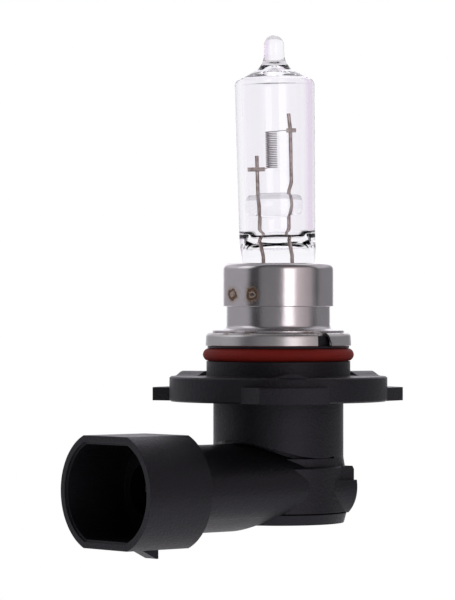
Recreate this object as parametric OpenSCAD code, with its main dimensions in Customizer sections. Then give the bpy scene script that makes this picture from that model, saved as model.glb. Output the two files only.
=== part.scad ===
// Single-filament headlight bulb with a flanged plastic base and a right-angle plug socket.
// Origin: on the lamp axis, in the flange face that seats against the reflector.
// +Z runs up the lamp axis to the glass tip, and the plug socket opens towards -Y.

/* [Base flange] */
// Radius of the pilot that centres the lamp in the reflector
pilot_r = 10; // [9:0.1:12]
// Height of the pilot, from the flange face to the O-ring groove
pilot_h = 2.1; // [1.6:0.1:3]
// How far the flange disc reaches past the pilot
flange_reach = 5.15; // [4.5:0.05:7]
// Thickness of the flange disc
flange_t = 3.45; // [2.8:0.05:5]
// How far the locking tabs reach past the flange disc
tab_reach = 2.75; // [1.5:0.05:4]
// Width of a locking tab
tab_w = 9.5; // [6:0.1:12]
// Drop from the flange face to the top of the two plain tabs
tab_drop = 1.6; // [0.5:0.05:2]
// Drop from the flange face to the top of the thicker key tab
key_drop = 1.25; // [0.4:0.05:2]
// Length of the sloping lead-in beside each tab
lead_in = 2.1; // [0.5:0.1:3]
// Height of the three raised pads on the flange face
pad_h = 0.65; // [0.3:0.05:1]
// Width of a raised pad
pad_w = 6.2; // [4:0.1:8]

/* [O-ring] */
// Thickness of the O-ring's cord
oring_cord = 1.76; // [1.4:0.02:2.1]
// How far the O-ring stands out past the pilot
oring_stand = 0.5; // [0.2:0.05:0.7]

/* [Slotted ring] */
// Sheet thickness of the slotted ring that caps the neck
ring_t = 0.4; // [0.3:0.05:0.6]
// Height of the slotted ring's side wall
ring_h = 1.8; // [1.4:0.1:3]
// Number of slots in the ring
ring_slots = 2; // [1:1:4]
// Width of a slot
slot_w = 1.85; // [1:0.05:3]

/* [Collars] */
// Outer radius of the lower collar
collar_r = 7.2; // [6.9:0.05:8.7]
// Sheet thickness of the lower collar
sheet_t = 0.35; // [0.25:0.05:0.5]
// Height of the lower collar
lower_h = 6.6; // [5:0.1:8]
// Radius of the thin disc at the foot of the lower collar
foot_r = 9.15; // [8.9:0.05:9.5]
// Radius of the cove between the lower collar and its disc
cove_r = 0.55; // [0.3:0.05:1.1]
// Sheet thickness of the upper collar
cap_t = 0.44; // [0.3:0.02:0.6]
// Height of the upper collar
cap_h = 6; // [5:0.05:8]
// How far the upper collar's rim is above the slotted ring
cap_lift = 3.65; // [2.5:0.05:4.5]
// Rounding of the upper collar's shoulder
cap_round = 0.9; // [0.6:0.05:1.2]

/* [Glass] */
// Height of the light centre above the flange face
light_centre = 31.5; // [28:0.5:38]
// Outer radius of the quartz tube
glass_r = 5.58; // [5.2:0.02:6.2]
// Wall of the quartz tube
glass_wall = 0.95; // [0.7:0.05:1.2]
// Height of the shoulder above the light centre
shoulder_rise = 8.95; // [7:0.05:12]
// Depth of the cavity floor below the light centre
floor_drop = 11.8; // [11.3:0.1:12.5]
// Width of the flat pinch
pinch_w = 9.74; // [8.4:0.02:10.4]
// Thickness of the flat pinch
pinch_t = 3.8; // [3:0.1:4.4]
// Radius of the sealed tip
tip_r = 1.42; // [1.1:0.02:1.8]
// How far the glass leans out of the base's axis, in degrees
burner_lean = 1.0; // [0:0.1:1.4]
// Turn of the plane that the two leads stand in, in degrees
burner_turn = 50; // [0:1:90]

/* [Filament and leads] */
// Diameter of the lead wires
lead_d = 0.5; // [0.3:0.05:0.6]
// Outer diameter of the filament coil
coil_d = 1.65; // [1.2:0.05:1.9]
// Length of the filament coil
coil_len = 5.1; // [4:0.1:6.5]
// Number of turns in the coil
coil_turns = 20; // [14:1:22]
// Diameter of the filament wire
coil_wire = 0.17; // [0.1:0.01:0.18]
// Diameter of the quartz bridge bead
bead_d = 3.4; // [2.4:0.1:3.8]
// Length of the quartz bridge bead
bead_len = 8.05; // [6.8:0.05:8.4]

/* [Barrel and elbow] */
// Outer radius of the barrel under the flange
barrel_r = 9.05; // [8.6:0.05:10.9]
// Wall of the barrel where the elbow's stub plugs in
barrel_wall = 1.65; // [1.2:0.05:1.9]
// Outer radius of the elbow's round body
elbow_r = 9.44; // [9.2:0.02:11.4]
// Depth of the elbow's upper face below the flange face
elbow_top = 12.35; // [11.6:0.05:13.2]
// Depth of the elbow's lower face below the flange face
elbow_bottom = 18.85; // [17.9:0.05:20.5]
// Radius of the chamber inside the neck, barrel and elbow
chamber_r = 6.5; // [6:0.1:6.6]
// Thickness of the bottom cover
cover_t = 1.4; // [1:0.05:2]
// Distance from the lamp axis to the back of the elbow's two cheeks
cheek_back = 6.5; // [5.6:0.1:7]

/* [Plug socket] */
// Distance from the lamp axis to the socket's rim
socket_reach = 30.6; // [28:0.1:37]
// Depth of the wide part of the socket
socket_depth = 10.1; // [8:0.1:12.2]
// Height of the socket's outside
socket_h = 15.2; // [14:0.1:17]
// Width of the socket's outside
socket_w = 19.5; // [18.4:0.1:23.4]
// Wall of the socket
socket_wall = 1.15; // [0.9:0.05:1.5]
// Depth of the socket's axis below the flange face
socket_drop = 15.2; // [14.6:0.05:15.8]
// Width of the oval tube between the elbow and the socket
tube_w = 18.4; // [16.8:0.1:18.4]
// Height of the oval tube
tube_h = 12; // [11:0.1:13.4]
// Width of the latch wedge under the socket
latch_w = 2.4; // [1.5:0.1:4]
// Height of the latch wedge
latch_h = 1.5; // [0.8:0.1:2]

/* [Terminals] */
// Width of a terminal blade
blade_w = 2.8; // [2:0.1:3.4]
// Thickness of a terminal blade
blade_t = 0.8; // [0.5:0.05:1]
// Spacing of the two blades, centre to centre
blade_pitch = 7.8; // [6.6:0.1:8.4]
// Length of blade that stands free in the socket
blade_free = 7.4; // [6:0.1:7.8]

/* [Hidden] */
$fn = 96;
fit = 0.02;               // clearance between pieces that are pressed or cast together
slip = 0.03;              // clearance between the two telescoping collars

flange_r = pilot_r + flange_reach;
tab_r = flange_r + tab_reach;
tab_turns = [-33.5, 77.5, -156.5];   // the key tab first, then the two plain ones
tab_drops = [key_drop, tab_drop, tab_drop];
pad_inner = pilot_r + 1.2;

oring_r = pilot_r + oring_stand - oring_cord / 2;
groove_h = oring_cord + 0.09;
groove_r = oring_r - oring_cord / 2 - fit;
neck_lip = 0.3;           // ledge above the groove, under the slotted ring's rim
neck_r = pilot_r - 0.15;
ring_foot = pilot_h + groove_h + neck_lip;
ring_top = ring_foot + ring_h;
ring_r = pilot_r + 0.12;
ring_round = 0.6;
ring_first_slot = -3.0;

collar_in = collar_r - sheet_t;
cap_z = ring_top + cap_lift;
cap_r = collar_r + slip + cap_t;
cap_mouth = pinch_w / 2 + 0.73;

floor_z = light_centre - floor_drop;
shoulder_z = light_centre + shoulder_rise;
pinch_z = floor_z - 3.5;              // where the flat pinch starts to swell into the tube
pinch_foot = ring_top + 2.2;
pinch_cove = glass_r - pinch_t / 2;
bore_r = glass_r - glass_wall;
shoulder_round = 0.85;
shoulder_slope = 26;
tip_rise = 5.55;                      // height of the tip ball's centre above the shoulder
flare_r = 2.9;                        // concave flare between the shoulder and the tip's neck
lean_pivot = ring_top + 5;
clip_turn = 8.5;                      // turn of the clip's two wings

foil_top = cap_z + cap_h - 0.8;
foil_foot = pinch_foot + 2;
foil_w = 1.7;
foil_t = 0.1;
weld_lap = 1;                         // length of lead that lies on a foil
lead_x = 2;                           // half the spacing of the leads in the pinch
bead_z = light_centre - 7.7;

coil_x = -0.63;
coil_r = (coil_d - coil_wire) / 2;
clip_h = 0.6;
low_clip_z = light_centre - coil_len / 2 - 0.15;
low_clip_x = [-3.95, -1.56];
high_clip_z = light_centre + coil_len / 2 + 0.1;
high_clip_x = [1.5, 2.85];

barrel_in = barrel_r - barrel_wall;
stub_r = barrel_in - fit;
stub_top = flange_t + 2.8;            // depth at which the elbow's stub ends in the barrel
seam_z = elbow_top - 1.2;             // depth of the barrel's edge behind the socket's tube
seam_y = 2.65;                        // the barrel's edge is arched in front of this line
shoulder_back = 0.95;                 // how far the elbow's shoulder is off centre
arch_r = 18.5;
arch_top = socket_drop - tube_h / 2 - 0.45;

socket_back = socket_reach - socket_depth;
cheek_step = socket_drop - 0.95;      // depth at which the cheeks narrow towards their top
cheek_trim = 0.7;                     // how much narrower the cheeks' upper part is
socket_floor = socket_back - blade_free - 0.5;
latch_len = 3.4;
latch_front = socket_reach - 4.8;
edge = 0.2;                           // small chamfer on the plastic's outer edges

// ---------- helpers ----------

// A point of the burner's own frame, given in the base's frame
function in_base(p) =
    let (z = p[2] - lean_pivot,
         x = p[0] * cos(burner_lean) - z * sin(burner_lean),
         h = p[0] * sin(burner_lean) + z * cos(burner_lean))
    [x * cos(burner_turn) - p[1] * sin(burner_turn),
     x * sin(burner_turn) + p[1] * cos(burner_turn), h + lean_pivot];

// Puts what is drawn on the burner's own axis into the base's frame
module burner_frame() {
    translate([0, 0, lean_pivot]) rotate([0, 0, burner_turn]) rotate([0, -burner_lean, 0])
        translate([0, 0, -lean_pivot]) children();
}

// Straight round rod from p to q
module rod(p, q, d) {
    v = q - p;
    translate(p) rotate([0, acos(v[2] / norm(v)), atan2(v[1], v[0])])
        cylinder(h = norm(v), d = d, $fn = 32);
}

// Bent round wire through a list of points, with a slightly swollen ball at each bend
module wire(points, d) {
    for (i = [0 : len(points) - 2]) rod(points[i], points[i + 1], d);
    for (i = [1 : len(points) - 2]) translate(points[i]) sphere(d = d + 0.06, $fn = 32);
}

module tube_ring(r_out, r_in, z0, z1) {
    translate([0, 0, z0]) difference() {
        cylinder(r = r_out, h = z1 - z0);
        translate([0, 0, -1]) cylinder(r = r_in, h = z1 - z0 + 2);
    }
}

// Extrudes a section towards -Y, from y0 to y1 along the socket's axis
module along_socket(y0, y1) {
    translate([0, -y0, -socket_drop]) rotate([90, 0, 0]) linear_extrude(y1 - y0) children();
}

// Oval of four tangent arcs, the section of the tube
module oval(w, h, corner) {
    c = w / 2 - corner;
    rise = h / 2 - corner;
    d = (c * c - rise * rise) / (2 * rise);
    big = d + h / 2;
    edge = c + corner * c / (d + rise);
    for (s = [-1, 1]) translate([s * c, 0]) circle(r = corner);
    intersection() {
        translate([0, -d]) circle(r = big, $fn = 180);
        translate([0, d]) circle(r = big, $fn = 180);
        square([2 * edge, h + 2], center = true);
    }
}

// Section of the socket: two round sides cut by flats at top and bottom
module socket_section(inset) {
    side = socket_w / 2 - 1.52;
    intersection() {
        union() {
            for (s = [-1, 1]) translate([s * 1.52, 0]) circle(r = side - inset);
            square([3.04, 2 * (side - inset)], center = true);
        }
        square([socket_w, socket_h - 2 * inset], center = true);
    }
}

// ---------- plastic base ----------

// Plan of a locking tab that points along +X, with its sloping lead-in
module tab_plan() {
    a = asin(tab_w / 2 / flange_r);
    polygon([[pilot_r, tab_w / 2], [tab_r + 1, tab_w / 2], [tab_r + 1, -tab_w / 2],
             [sqrt(pow(tab_r, 2) - pow(tab_w / 2, 2)), -tab_w / 2],
             [flange_r * cos(a) - 0.9, -tab_w / 2 - lead_in],
             [pilot_r, -tab_w / 2 - lead_in]]);
}

// Smooth raised pad on the flange face, rising and falling as a cosine from a 0.02 mm step
module seat_pad() {
    steps = 16;
    intersection() {
        translate([pad_inner, 0, 0]) rotate([90, 0, 90]) linear_extrude(flange_r - pad_inner + 1)
            polygon(concat([[pad_w / 2, -0.5]],
                [for (i = [0 : steps]) let (t = i / steps)
                    [pad_w * (0.5 - t), 0.02 + (pad_h - 0.02) * (1 - cos(360 * t)) / 2]],
                [[-pad_w / 2, -0.5]]));
        translate([0, 0, -1]) cylinder(r = flange_r - edge - 0.1, h = 3);
    }
}

module base_housing() {
    color([0.09, 0.09, 0.10]) difference() {
        union() {
            cylinder(r = pilot_r, h = pilot_h);
            cylinder(r = groove_r, h = pilot_h + groove_h + 0.1);
            translate([0, 0, pilot_h + groove_h]) cylinder(r = neck_r, h = neck_lip);
            translate([0, 0, ring_foot])
                cylinder(r = ring_r - 2 * ring_t, h = ring_h - ring_t - fit);
            rotate_extrude() polygon([
                [0, -flange_t], [flange_r - edge, -flange_t], [flange_r, -flange_t + edge],
                [flange_r, -edge], [flange_r - edge, 0], [0, 0]]);
            for (i = [0 : 2]) rotate([0, 0, tab_turns[i]]) {
                intersection() {
                    translate([0, 0, -flange_t]) linear_extrude(flange_t - tab_drops[i])
                        tab_plan();
                    translate([0, 0, -flange_t]) cylinder(r = tab_r, h = flange_t);
                }
                seat_pad();
            }
            translate([0, 0, -seam_z]) cylinder(r = barrel_r, h = seam_z - flange_t + 0.1);
        }
        translate([0, 0, -seam_z - 1]) cylinder(r = chamber_r, h = seam_z + ring_top + 2);
        translate([0, 0, -seam_z - 1]) cylinder(r = barrel_in, h = seam_z + 1 - stub_top + fit);
        translate([0, seam_y, -arch_top - arch_r]) rotate([90, 0, 0])
            cylinder(r = arch_r, h = barrel_r + seam_y + 1, $fn = 180);
    }
}

// ---------- elbow and socket ----------

module elbow_body() {
    rotate_extrude() polygon([
        [0, -elbow_bottom], [elbow_r - edge, -elbow_bottom], [elbow_r, -elbow_bottom + edge],
        [elbow_r, -elbow_top - edge], [elbow_r - edge, -elbow_top],
        [stub_r, -elbow_top], [stub_r, -stub_top], [0, -stub_top]]);
    // shoulder up to the barrel's edge, set back so that it sinks in towards the front
    translate([0, 0, -elbow_top]) intersection() {
        cylinder(r1 = elbow_r - edge, r2 = barrel_r, h = elbow_top - seam_z - fit);
        translate([0, shoulder_back, -0.1]) cylinder(r = barrel_r - 0.35, h = elbow_top);
    }
}

// Two cheeks that square off the elbow's sides behind its middle, narrower at the top
module side_cheeks() {
    difference() {
        intersection() {
            along_socket(-cheek_back, 0) oval(tube_w, tube_h, 4.5);
            translate([-tube_w / 2, 0, -elbow_bottom])
                cube([tube_w, cheek_back, elbow_bottom - elbow_top]);
        }
        for (s = [0, 1]) mirror([s, 0, 0])
            translate([tube_w / 2 - cheek_trim, 0, -cheek_step]) cube([1, cheek_back, 4]);
    }
}

module socket_shell() {
    along_socket(socket_back - 0.5, socket_reach) socket_section(0);
    difference() {
        along_socket(0, socket_back) oval(tube_w, tube_h, 4.5);
        translate([0, 0, -elbow_bottom - 9]) cylinder(r = elbow_r + 0.1, h = 9);
    }
    // latch wedge
    translate([-latch_w / 2, -latch_front + latch_len, -socket_drop - socket_h / 2])
        rotate([90, 0, 90]) linear_extrude(latch_w)
            polygon([[0, 0.2], [0, -latch_h], [-0.35, -latch_h], [-latch_len, 0], [-latch_len, 0.2]]);
}

module connector_housing() {
    color([0.09, 0.09, 0.10]) difference() {
        union() {
            elbow_body();
            side_cheeks();
            socket_shell();
        }
        translate([0, 0, -elbow_bottom - 1]) cylinder(r = chamber_r, h = elbow_bottom);
        along_socket(socket_back, socket_reach + 1) socket_section(socket_wall);
        along_socket(socket_reach - 0.3, socket_reach + 1) socket_section(socket_wall - 0.3);
        along_socket(socket_floor, socket_back + 1) oval(tube_w - 3.4, tube_h - 3, 3.4);
        for (s = [-1, 1]) terminal_bar(s, fit);
    }
}

module bottom_cover() {
    color([0.10, 0.10, 0.11]) {
        translate([0, 0, -elbow_bottom - cover_t])
            cylinder(r1 = elbow_r - 0.33, r2 = elbow_r + 0.06, h = cover_t);
        translate([0, 0, -elbow_bottom - 0.1]) cylinder(r = chamber_r - fit, h = 1);
    }
}

// ---------- terminals ----------

// Blade and tail in one flat bar; grow widens it for the slot that it is moulded into
module terminal_bar(side, grow) {
    tip = socket_floor + blade_free;
    half = blade_w / 2 + grow;
    translate([side * blade_pitch / 2, 0, -socket_drop - blade_t / 2 - grow])
        linear_extrude(blade_t + 2 * grow)
            polygon([[-half, 1], [half, 1], [half, -tip + 0.7], [half - 0.7, -tip],
                     [-half + 0.7, -tip], [-half, -tip + 0.7]]);
}

module terminal_left() {
    color([0.72, 0.70, 0.64]) terminal_bar(-1, 0);
}

module terminal_right() {
    color([0.72, 0.70, 0.64]) terminal_bar(1, 0);
}

// ---------- seal and metal collars ----------

module o_ring() {
    color([0.50, 0.16, 0.12]) translate([0, 0, pilot_h + groove_h / 2])
        rotate_extrude() translate([oring_r, 0]) circle(d = oring_cord, $fn = 48);
}

module slotted_ring() {
    color([0.72, 0.72, 0.70]) difference() {
        rotate_extrude() difference() {
            union() {
                translate([chamber_r, ring_top - ring_t])
                    square([ring_r - ring_round - chamber_r, ring_t]);
                translate([ring_r - ring_round, ring_top - ring_round]) circle(r = ring_round, $fn = 48);
                translate([ring_r - ring_round, ring_foot]) square([ring_round, ring_h - ring_round]);
            }
            translate([0, ring_foot - 1]) square([ring_r - ring_t, ring_h + 1 - ring_t]);
        }
        for (i = [0 : ring_slots - 1])
            rotate([0, 0, ring_first_slot + i * 360 / ring_slots])
                translate([ring_r - 1.32, -slot_w / 2, ring_foot - 1])
                    cube([ring_r, slot_w, ring_h + 2]);
    }
}

module lower_collar() {
    color([0.74, 0.74, 0.74]) rotate_extrude() {
        translate([collar_in, ring_top]) square([sheet_t, lower_h]);
        translate([collar_in, ring_top]) square([foot_r - collar_in, sheet_t]);
        difference() {
            translate([collar_in, ring_top]) square([sheet_t + cove_r, sheet_t + cove_r]);
            translate([collar_r + cove_r, ring_top + sheet_t + cove_r]) circle(r = cove_r, $fn = 48);
        }
    }
}

module upper_collar() {
    top = cap_z + cap_h;
    inner_round = cap_round - cap_t;
    color([0.76, 0.76, 0.76]) rotate_extrude() difference() {
        union() {
            translate([cap_mouth, cap_z]) square([cap_r - cap_mouth, cap_h - cap_round]);
            translate([cap_mouth, cap_z]) square([cap_r - cap_round - cap_mouth, cap_h]);
            translate([cap_r - cap_round, top - cap_round]) circle(r = cap_round, $fn = 64);
        }
        translate([0, cap_z - 1]) square([cap_r - cap_t, cap_h + 1 - cap_round]);
        translate([0, cap_z - 1]) square([cap_r - cap_round, cap_h + 1 - cap_t]);
        translate([cap_r - cap_round, top - cap_round]) circle(r = inner_round, $fn = 64);
    }
}

// Sheet-metal clip: a frame round the pinch, two wings on the collar's inner wall,
// and thin webs between them
module pinch_clip() {
    low = ring_top + 3.7;
    high = ring_top + lower_h - 0.2;
    wing = collar_in - fit;
    web = 0.4;
    color([0.66, 0.66, 0.66]) difference() {
        union() {
            rotate([0, 0, burner_turn]) translate([-pinch_w / 2 - web, -pinch_t / 2 - web, low])
                cube([pinch_w + 2 * web, pinch_t + 2 * web, high - low]);
            rotate([0, 0, clip_turn]) {
                for (x = [-1.4, 1.4 - web]) translate([x, -wing + 0.1, low])
                    cube([web, 2 * wing - 0.2, high - low]);
                intersection() {
                    tube_ring(wing, wing - web, low, high);
                    translate([-2.6, -wing, low]) cube([5.2, 2 * wing, high - low]);
                }
            }
        }
        burner_frame() glass_body(0.03);
    }
}

// ---------- burner, drawn on its own axis ----------

// Outline of the quartz tube from the pinch to the sealed tip
module glass_outline(grow) {
    corner_x = glass_r - shoulder_round;
    n = [sin(shoulder_slope), cos(shoulder_slope)];
    on_corner = [corner_x, shoulder_z] + shoulder_round * n;
    flare_x = tip_r + flare_r;
    flare_z = on_corner[1] + (flare_r - (flare_x - on_corner[0]) * n[0]) / n[1];
    on_flare = [flare_x, flare_z] - flare_r * n;
    tip_z = shoulder_z + tip_rise;
    translate([0, pinch_foot]) square([glass_r + grow, shoulder_z - pinch_foot]);
    intersection() {
        translate([0, shoulder_z - 1]) square([glass_r, tip_rise + 4]);
        union() {
            translate([corner_x, shoulder_z]) circle(r = shoulder_round, $fn = 48);
            difference() {
                polygon([[0, shoulder_z - 1], [corner_x, shoulder_z - 1], [corner_x, shoulder_z],
                         on_corner, on_flare, [flare_x, flare_z], [0, flare_z]]);
                translate([flare_x, flare_z]) circle(r = flare_r);
            }
            translate([0, flare_z - 0.1]) square([tip_r, tip_z - flare_z + 0.1]);
            translate([0, tip_z]) circle(r = tip_r, $fn = 64);
        }
    }
}

// Both flanks of an outline that is given for one side
function both_sides(right) =
    concat(right, [for (i = [len(right) - 1 : -1 : 0]) [-right[i][0], right[i][1]]]);

// Limits of the pinch seen from its narrow side; inset moves them towards the middle
module squeeze(inset) {
    cove = pinch_cove + inset;
    difference() {
        translate([-glass_r - 1, pinch_foot - 1])
            square([2 * glass_r + 2, shoulder_z + 12 - pinch_foot]);
        for (s = [0, 1]) mirror([s, 0]) {
            translate([glass_r, pinch_z]) circle(r = cove);
            translate([glass_r - cove, pinch_foot - 2])
                square([cove + 2, pinch_z - pinch_foot + 2]);
        }
    }
}

// Solid quartz, before its cavity
module glass_body(grow) {
    far = 2 * glass_r + 2;
    intersection() {
        rotate_extrude() glass_outline(grow);
        translate([0, far / 2, 0]) rotate([90, 0, 0]) linear_extrude(far)
            polygon(both_sides([[pinch_w / 2 + grow, pinch_foot - 1],
                                [pinch_w / 2 + grow, floor_z - 3.9],
                                [glass_r + grow, floor_z + 1.2],
                                [glass_r + grow, shoulder_z + 9]]));
        rotate([0, 0, 90]) translate([0, far / 2, 0]) rotate([90, 0, 0]) linear_extrude(far)
            squeeze(-grow);
    }
}

module glass_cavity() {
    far = 2 * glass_r + 2;
    ceiling = shoulder_z + 0.9;
    round_in = 0.8;
    intersection() {
        union() {
            rotate_extrude() {
                translate([0, floor_z]) square([bore_r, ceiling - round_in - floor_z]);
                translate([0, floor_z]) square([bore_r - round_in, ceiling - floor_z]);
                translate([bore_r - round_in, ceiling - round_in]) circle(r = round_in, $fn = 48);
            }
            translate([0, 0, ceiling - 0.01]) cylinder(r1 = 1.4, r2 = 0.5, h = 1.4);
        }
        rotate([0, 0, 90]) translate([0, far / 2, 0]) rotate([90, 0, 0]) linear_extrude(far)
            squeeze(glass_wall);
    }
}

// Route of the lead that holds the filament's lower end, as [x, y, z] points
short_route = [[-2.66, 0, low_clip_z + 1.9], [-2.6, 0, bead_z + 1.5], [-2.3, 0, bead_z],
               [-2.48, 0, floor_z - 0.1], [-lead_x, 0, floor_z - 2.9],
               [-lead_x, 0, foil_top - weld_lap]];
// Route of the lead that holds the filament's upper end
long_route = [[1.85, 0, high_clip_z + 2.4], [2.08, 0, high_clip_z], [2.07, 0, bead_z + 3.1],
              [1.68, 0, bead_z + 1.8], [2.0, 0, bead_z], [1.65, 0, bead_z - 1.1],
              [1.62, 0, floor_z - 0.1], [lead_x, 0, floor_z - 2.9],
              [lead_x, 0, foil_top - weld_lap]];

module foil(side, grow) {
    translate([side * lead_x - foil_w / 2 - grow, lead_d / 2 + fit - grow, foil_foot - grow])
        cube([foil_w + 2 * grow, foil_t + 2 * grow, foil_top - foil_foot + 2 * grow]);
}

module outer_lead_top(side, d) {
    rod([side * lead_x, 0, pinch_foot - 1], [side * lead_x, 0, foil_foot + weld_lap], d);
}

module glass_envelope() {
    cast = lead_d + 2 * fit;
    color([0.93, 0.95, 0.98, 0.35]) burner_frame() difference() {
        glass_body(0);
        glass_cavity();
        wire(short_route, cast);
        wire(long_route, cast);
        for (s = [-1, 1]) {
            foil(s, fit);
            outer_lead_top(s, cast);
        }
    }
}

module short_lead() {
    color([0.46, 0.44, 0.43]) burner_frame() wire(short_route, lead_d);
}

module long_lead() {
    color([0.46, 0.44, 0.43]) burner_frame() wire(long_route, lead_d);
}

// Crossbar that grips a lead and one leg of the filament
module filament_clip(x, z, route) {
    color([0.42, 0.40, 0.39]) burner_frame() difference() {
        translate([x[0], -0.45, z - clip_h / 2]) cube([x[1] - x[0], 0.9, clip_h]);
        wire(route, lead_d + fit);
    }
}

module lower_filament_clip() {
    filament_clip(low_clip_x, low_clip_z, short_route);
}

module upper_filament_clip() {
    filament_clip(high_clip_x, high_clip_z, long_route);
}

module bridge_bead() {
    dome = 0.7;
    straight = bead_len - 2 * dome;
    color([0.90, 0.92, 0.95, 0.5]) burner_frame() difference() {
        intersection() {
            translate([-0.38, 0, bead_z]) rotate([0, 90, 0]) {
                translate([0, 0, -straight / 2]) cylinder(d = bead_d, h = straight);
                for (s = [-1, 1]) translate([0, 0, s * straight / 2]) intersection() {
                    sphere(d = bead_d, $fn = 64);
                    cube([bead_d, bead_d, 2 * dome], center = true);
                }
            }
            translate([0, 0, bead_z - bead_d]) cylinder(r = bore_r - 0.08, h = 2 * bead_d);
        }
        wire(short_route, lead_d + 2 * fit);
        wire(long_route, lead_d + 2 * fit);
    }
}

module foil_short_side() {
    color([0.5, 0.5, 0.5]) burner_frame() foil(-1, 0);
}

module foil_long_side() {
    color([0.5, 0.5, 0.5]) burner_frame() foil(1, 0);
}

// Lead from a foil down through the neck to its terminal's tail
module outer_lead(side, terminal) {
    start = in_base([side * lead_x, 0, pinch_foot - 1]);
    tail = [terminal * blade_pitch / 2, -1, -socket_drop + blade_t / 2];
    color([0.62, 0.62, 0.62]) {
        burner_frame() outer_lead_top(side, lead_d);
        wire([start, [start[0], start[1], 1], [tail[0], tail[1], -stub_top - 3], tail], lead_d);
        translate(start) sphere(d = lead_d + 0.06, $fn = 32);
    }
}

module outer_lead_short_side() {
    outer_lead(-1, -1);
}

module outer_lead_long_side() {
    outer_lead(1, 1);
}

// ---------- filament ----------

// Points along the filament: lower leg, coil, upper leg
coil_steps = 12;
coil_low = light_centre - coil_len / 2;
coil_path = concat(
    [[low_clip_x[1], 0, low_clip_z]],
    [for (i = [0 : (coil_turns + 0.5) * coil_steps])
        let (a = 180 + i * 360 / coil_steps, t = i / ((coil_turns + 0.5) * coil_steps))
        [coil_x + coil_r * cos(a), coil_r * sin(a), coil_low + coil_len * t]],
    [[high_clip_x[0], 0, high_clip_z]]);

// Direction of the path at its point i
function heading(path, i) =
    let (a = path[max(i - 1, 0)], b = path[min(i + 1, len(path) - 1)]) (b - a) / norm(b - a);

// Round thin wire swept along a path, with a ring of points at each path point
module swept_wire(path, d, sides) {
    rings = [for (i = [0 : len(path) - 1])
        let (t = heading(path, i),
             u = cross([0, 0, 1], t) / norm(cross([0, 0, 1], t)),
             v = cross(t, u))
        for (k = [0 : sides - 1])
            path[i] + d / 2 * (cos(360 * k / sides) * u + sin(360 * k / sides) * v)];
    last = len(path) - 1;
    walls = [for (i = [0 : last - 1], k = [0 : sides - 1])
        let (n = (k + 1) % sides, a = i * sides, b = (i + 1) * sides)
        each [[a + k, b + k, b + n], [a + k, b + n, a + n]]];
    ends = [[for (k = [0 : sides - 1]) k], [for (k = [sides - 1 : -1 : 0]) last * sides + k]];
    polyhedron(points = rings, faces = concat(walls, ends), convexity = 10);
}

module filament() {
    color([0.35, 0.35, 0.36]) burner_frame() swept_wire(coil_path, coil_wire, 5);
}

// ---------- assembly ----------

base_housing();
connector_housing();
bottom_cover();
terminal_left();
terminal_right();
o_ring();
slotted_ring();
lower_collar();
upper_collar();
pinch_clip();
glass_envelope();
filament();
short_lead();
long_lead();
lower_filament_clip();
upper_filament_clip();
bridge_bead();
foil_short_side();
foil_long_side();
outer_lead_short_side();
outer_lead_long_side();
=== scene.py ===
# %% [markdown]
# # A headlight bulb, piece by piece
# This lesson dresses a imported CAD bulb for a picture. The CAD part gives the frame: +Z runs up the
# lamp's axis to the glass tip, and the plug socket opens towards -Y. Thin wires, glass and
# pressed sheet are modelled again here, because their small curves decide how they catch light.

# %% Load the CAD frame
import math

import bmesh
import bpy
from mathutils import Matrix, Vector


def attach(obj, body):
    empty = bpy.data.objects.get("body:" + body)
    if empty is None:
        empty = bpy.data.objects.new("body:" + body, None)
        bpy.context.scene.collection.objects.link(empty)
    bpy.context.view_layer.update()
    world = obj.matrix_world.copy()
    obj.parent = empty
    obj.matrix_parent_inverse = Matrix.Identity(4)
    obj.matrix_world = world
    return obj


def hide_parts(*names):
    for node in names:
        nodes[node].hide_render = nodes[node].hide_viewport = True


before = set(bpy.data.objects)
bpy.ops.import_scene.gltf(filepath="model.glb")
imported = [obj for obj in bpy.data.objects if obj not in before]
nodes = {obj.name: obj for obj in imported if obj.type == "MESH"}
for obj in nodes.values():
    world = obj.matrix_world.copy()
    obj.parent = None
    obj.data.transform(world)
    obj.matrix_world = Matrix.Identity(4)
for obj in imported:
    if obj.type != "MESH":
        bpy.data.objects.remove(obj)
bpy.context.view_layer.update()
print("CAD nodes:", len(nodes))

# %% [markdown]
# ## Camera
# A level camera looks at the lamp from the front right, half a metre away, with a long lens so
# that the flange and the socket keep their true proportions. It aims a little to the left of
# the lamp's axis, because the socket reaches out on that side.

# %% Camera
MM = 0.001
VIEW_TURN = math.radians(50)
RIGHT = Vector((math.cos(VIEW_TURN), math.sin(VIEW_TURN), 0))
TOWARDS_CAMERA = Vector((math.sin(VIEW_TURN), -math.cos(VIEW_TURN), 0))

camera_data = bpy.data.cameras.new("camera")
camera_data.lens = 215.7
camera_data.clip_start = 0.01
camera = bpy.data.objects.new("camera", camera_data)
aim = -7.07 * MM * RIGHT + Vector((0, 0, 10.6 * MM))
camera.location = aim + 0.5 * TOWARDS_CAMERA
camera.rotation_euler = (math.radians(90), 0, VIEW_TURN)
bpy.context.scene.collection.objects.link(camera)
bpy.context.scene.camera = camera
print("camera at", [round(c, 3) for c in camera.location])

# %% [markdown]
# ## Shader maths as plain expressions
# Patterns such as scratches or heat tints are sums and products of numbers that vary over the
# surface. Drawing each Math node by hand is slow, so a small class wraps a socket and lets
# ordinary Python operators add the nodes.

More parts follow.
